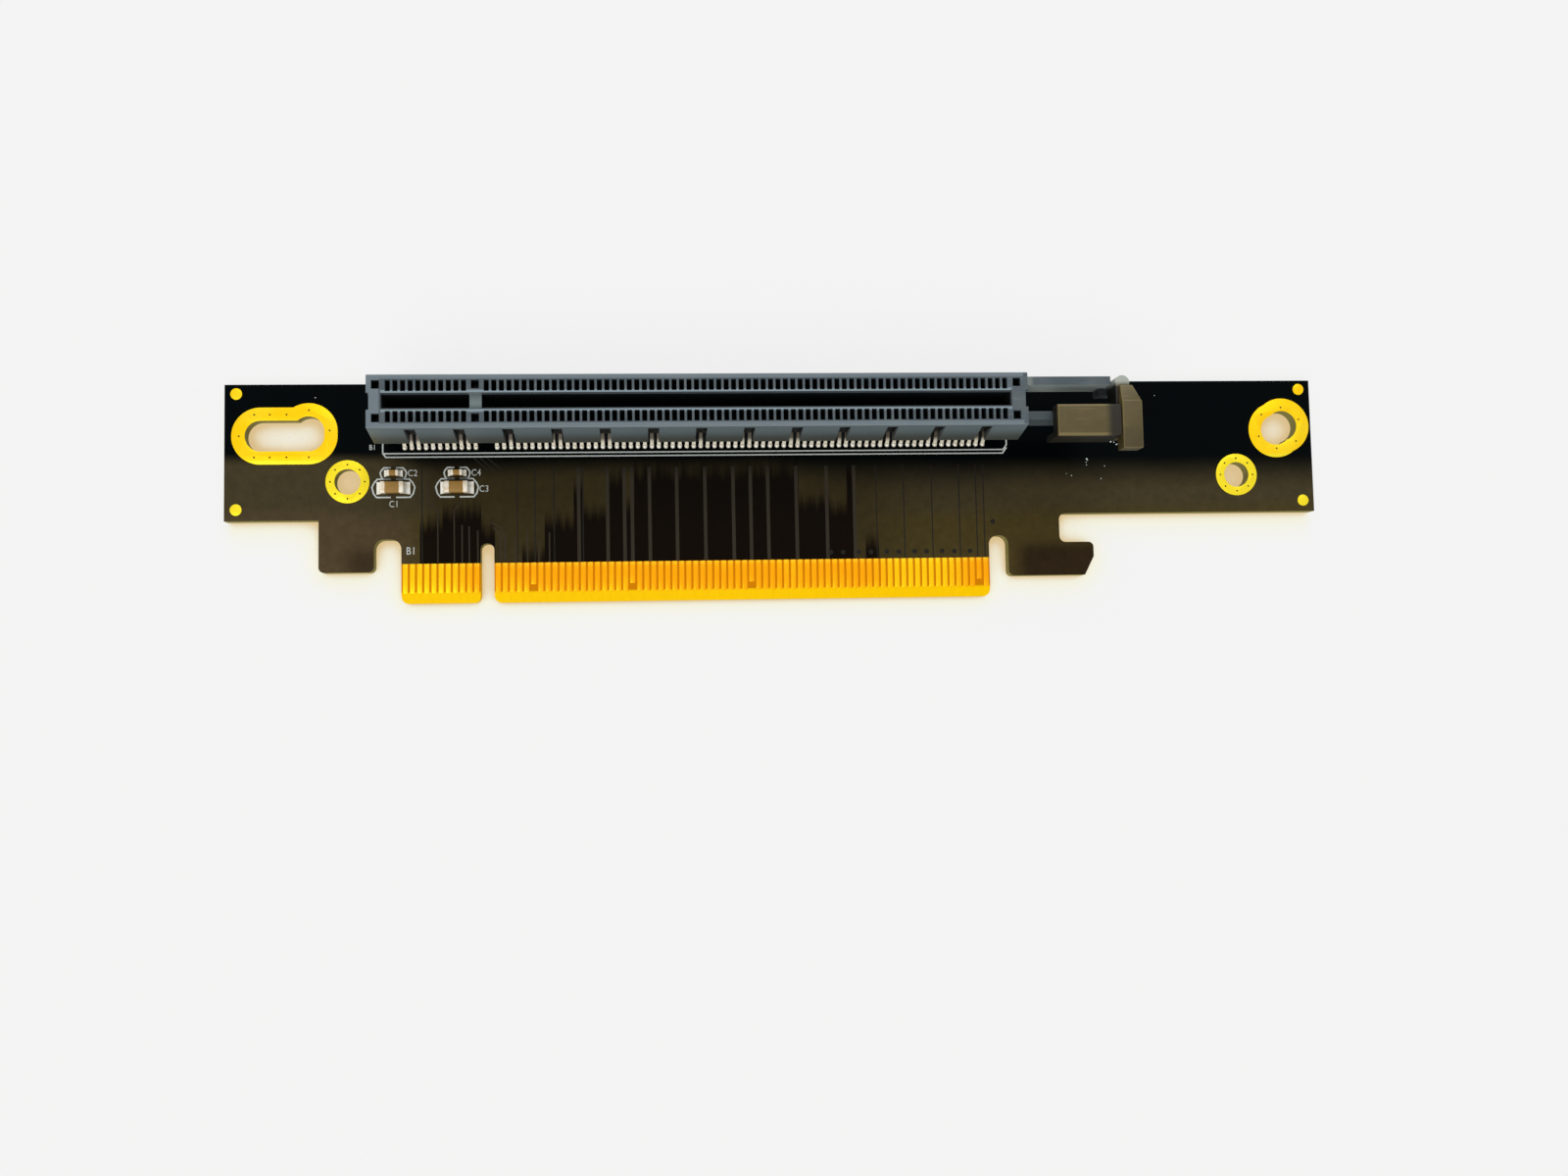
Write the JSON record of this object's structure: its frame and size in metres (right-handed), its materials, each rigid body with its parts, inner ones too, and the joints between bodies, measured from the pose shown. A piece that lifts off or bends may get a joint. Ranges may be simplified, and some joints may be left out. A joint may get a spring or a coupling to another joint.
{
  "type": "pcie riser card",
  "caption": "Flat riser card with a keyed edge connector, a long card slot on its face, a swinging retention latch and ringed mounting holes.",
  "frame": {"origin": "under the middle of the board, on the plane that the card rests on", "axes": "+X along the board, +Y from the edge fingers towards the slot, +Z out of the slot's mouth"},
  "size_m": [0.1574, 0.0314, 0.0151],
  "materials": {
    "solder_mask": "near-black glossy solder mask on glass laminate",
    "gold_plate": "gold plating over copper",
    "slot_plastic": "satin blue-grey moulding",
    "latch_plastic": "satin olive-brown moulding",
    "tinned_contact": "bright tin plating",
    "capacitor_ceramic": "satin brown ceramic",
    "solder": "smooth bright solder"
  },
  "bodies": {
    "card": {"circuit_board": "solder_mask", "edge_fingers_front": "gold_plate", "edge_fingers_back": "gold_plate", "keyhole_ring": "gold_plate", "left_hole_ring": "gold_plate", "right_hole_ring": "gold_plate", "double_hole_ring": "gold_plate", "fiducial_pads": "gold_plate", "slot_housing": "slot_plastic", "slot_contacts_front": "tinned_contact", "slot_contacts_back": "tinned_contact", "capacitor_c1": "capacitor_ceramic", "terminals_c1": "tinned_contact", "capacitor_c2": "capacitor_ceramic", "terminals_c2": "tinned_contact", "capacitor_c3": "capacitor_ceramic", "terminals_c3": "tinned_contact", "capacitor_c4": "capacitor_ceramic", "terminals_c4": "tinned_contact", "capacitor_solder": "solder"},
    "latch": {"retention_latch": "latch_plastic"}
  },
  "joints": [
    {"name": "latch_swing", "type": "hinge", "parent": "card", "child": "latch", "pos_m": [0.04531, 0.01226, 0.01], "axis": [0, 0, 1], "range_deg": [0, 25]}
  ]
}
